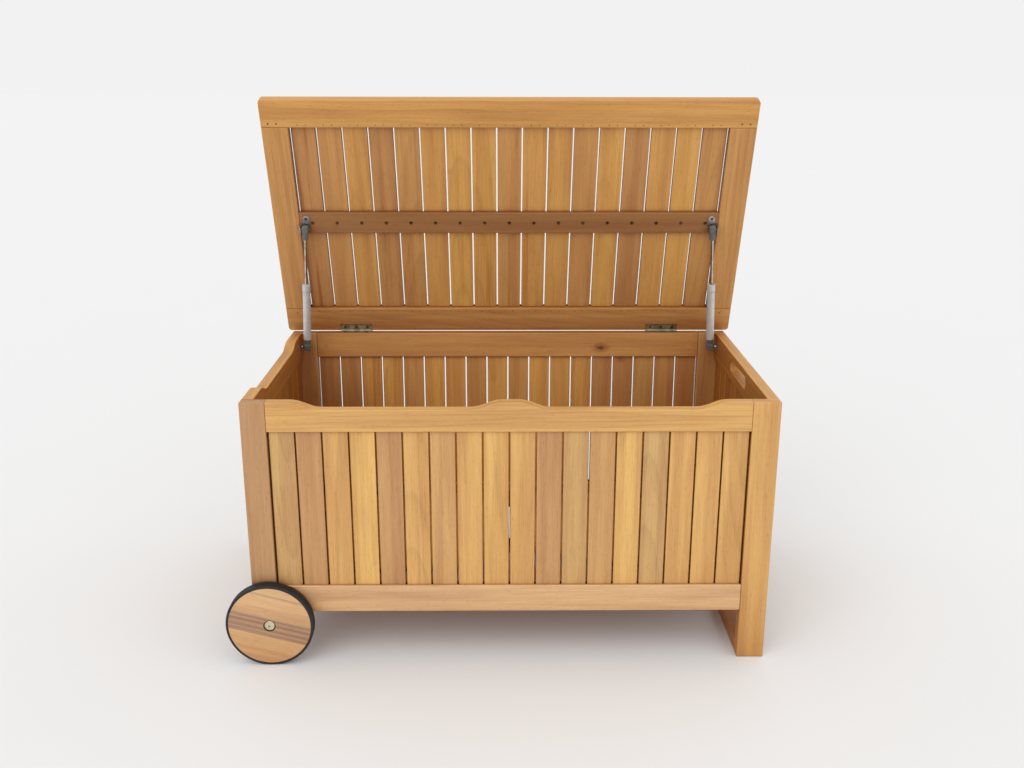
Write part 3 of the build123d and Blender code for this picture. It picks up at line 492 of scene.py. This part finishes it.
def low_dome(verts, faces, centre, radius, high, normal, across):
    """Adds a shallow dome, as a closed solid, standing on a face at centre."""
    other = normal.cross(across)
    start = len(verts)
    for scale, rise in DOME_RINGS:
        for i in range(DOME_SIDES):
            turn = 2 * math.pi * i / DOME_SIDES
            flat = across * math.cos(turn) + other * math.sin(turn)
            verts.append(centre + flat * radius * scale + normal * high * rise)
    verts.append(centre + normal * high)
    top = start + len(DOME_RINGS) * DOME_SIDES
    for i in range(DOME_SIDES):
        j = (i + 1) % DOME_SIDES
        for level in range(len(DOME_RINGS) - 1):
            low, up = start + level * DOME_SIDES, start + (level + 1) * DOME_SIDES
            faces.append((low + i, low + j, up + j, up + i))
        faces.append((top - DOME_SIDES + i, top - DOME_SIDES + j, top))
    faces.append(tuple(start + i for i in reversed(range(DOME_SIDES))))


def under_lid(x, y):
    """A point on the open lid's underside, from where it is when the lid is closed."""
    above_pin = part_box("front_left_post")[1][2] + LID_GAP - LID_PIN.z
    swing = Matrix.Rotation(-LID_OPEN, 3, "X") @ Vector((0, y - LID_PIN.y, above_pin))
    return Vector((x, LID_PIN.y, LID_PIN.z)) + Vector((0, swing.y, swing.z))


def lid_brads():
    """Brads that hold each slat's tongue, and screws at the corners of the lid's frame."""
    verts, faces = [], []
    down = Matrix.Rotation(-LID_OPEN, 3, "X") @ Vector((0, 0, -1))
    across = Vector((1, 0, 0))
    far, near = LID_PIN.y - LID_FAR_EDGE, LID_PIN.y - LID_RAIL
    count = len(LID_TONES)
    pitch = (LID_SPAN[1] - LID_SPAN[0] + SLAT_GAP) / count
    for i in range(count):
        middle = LID_SPAN[0] - SLAT_GAP / 2 + pitch * (i + 0.5)
        for x in (middle - BRAD_SPREAD, middle + BRAD_SPREAD):
            for y in (far - BRAD_INSET, near + BRAD_INSET):
                low_dome(verts, faces, under_lid(x, y), BRAD_R, BRAD_HIGH, down, across)
    for end, inward in zip(LID_EDGES, (1, -1)):
        for edge, side, corners in ((far, -1, FAR_CORNERS), (near, 1, NEAR_CORNERS)):
            for step, inset in corners:
                spot = under_lid(end + inward * step, edge + side * inset)
                low_dome(verts, faces, spot, CORNER_R, BRAD_HIGH, down, across)
    mesh = bpy.data.meshes.new("lid_brads")
    mesh.from_pydata(verts, [], faces)
    mesh.validate()
    piece = bpy.data.objects.new("lid_brads", mesh)
    bpy.context.scene.collection.objects.link(piece)
    mesh.materials.append(metal("brad_steel", srgb(150, 120, 84), srgb(104, 74, 44), 0.5))
    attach(piece, "lid")


# ---- studio ------------------------------------------------------------------------------------
PAPER = srgb(242, 242, 242)
FLOOR_HALF = 40.0
# Where each light comes from, its strength, and how wide it is spread in degrees.
SUNS = {"key": ((-0.55, -1.0, 0.95), 0.72, 50), "fill": ((0.9, -1.0, 0.6), 0.22, 70)}
FLOOR_ALBEDO = 0.843  # so that the lit floor is as bright as the surround


def studio():
    """A pale floor that runs into an equally pale surround, lit softly from the front and above."""
    mesh = bpy.data.meshes.new("studio_floor")
    size = FLOOR_HALF
    corners = [(-size, -size, 0), (size, -size, 0), (size, size, 0), (-size, size, 0)]
    mesh.from_pydata(corners, [], [(0, 1, 2, 3)])
    floor = bpy.data.objects.new("studio_floor", mesh)
    bpy.context.scene.collection.objects.link(floor)
    graph = Graph("studio_paper")
    grain = graph.noise(graph.coordinates(), 3.0, 2.0)
    tones = [tint(*(FLOOR_ALBEDO * share,) * 3) for share in (0.995, 1.005)]
    graph.feed(graph.shader.inputs["Base Color"], graph.mix(grain, *tones))
    graph.shader.inputs["Roughness"].default_value = 1.0
    graph.shader.inputs["Specular IOR Level"].default_value = 0.0
    mesh.materials.append(graph.material)

    world = bpy.data.worlds.new("studio")
    world.use_nodes = True
    background = world.node_tree.nodes["Background"]
    background.inputs["Color"].default_value = PAPER
    background.inputs["Strength"].default_value = 1.0
    bpy.context.scene.world = world
    for name, (towards, power, spread) in SUNS.items():
        soft_sun(name, towards, power, spread)


def soft_sun(name, towards, power, spread):
    """Parallel light from one direction, softened over a wide angle in degrees."""
    light = bpy.data.lights.new(name, "SUN")
    light.energy = power
    light.angle = math.radians(spread)
    lamp = bpy.data.objects.new(name, light)
    lamp.rotation_euler = (-Vector(towards)).to_track_quat("-Z", "Y").to_euler()
    bpy.context.scene.collection.objects.link(lamp)


# ---- camera ------------------------------------------------------------------------------------
CAMERA_BACK = 1.9539  # in front of the box's front face
CAMERA_LEFT = 0.0172
CAMERA_HIGH = 1.1825
CAMERA_LENS = 37.418
CAMERA_SENSOR = 36.0
PITCH = 0.2927
ROLL = 0.0018
YAW = 0.0099


def camera():
    ahead = Vector((math.sin(YAW) * math.cos(PITCH), math.cos(YAW) * math.cos(PITCH), -math.sin(PITCH)))
    right = ahead.cross(Vector((0, 0, 1))).normalized()
    up = right.cross(ahead)
    side = right * math.cos(ROLL) + up * math.sin(ROLL)
    high = up * math.cos(ROLL) - right * math.sin(ROLL)
    data = bpy.data.cameras.new("camera")
    data.lens = CAMERA_LENS
    data.sensor_width = CAMERA_SENSOR
    eye = bpy.data.objects.new("camera", data)
    turn = Matrix((side, high, -ahead)).transposed().to_4x4()
    place = Vector((BOX_MIDDLE_X - CAMERA_LEFT, FRONT_FACE - CAMERA_BACK, CAMERA_HIGH))
    eye.matrix_world = Matrix.Translation(place) @ turn
    bpy.context.scene.collection.objects.link(eye)
    bpy.context.scene.camera = eye


dress_wood()
dress_fittings()
lid_brads()
studio()
camera()
bpy.context.scene.view_settings.view_transform = "Standard"
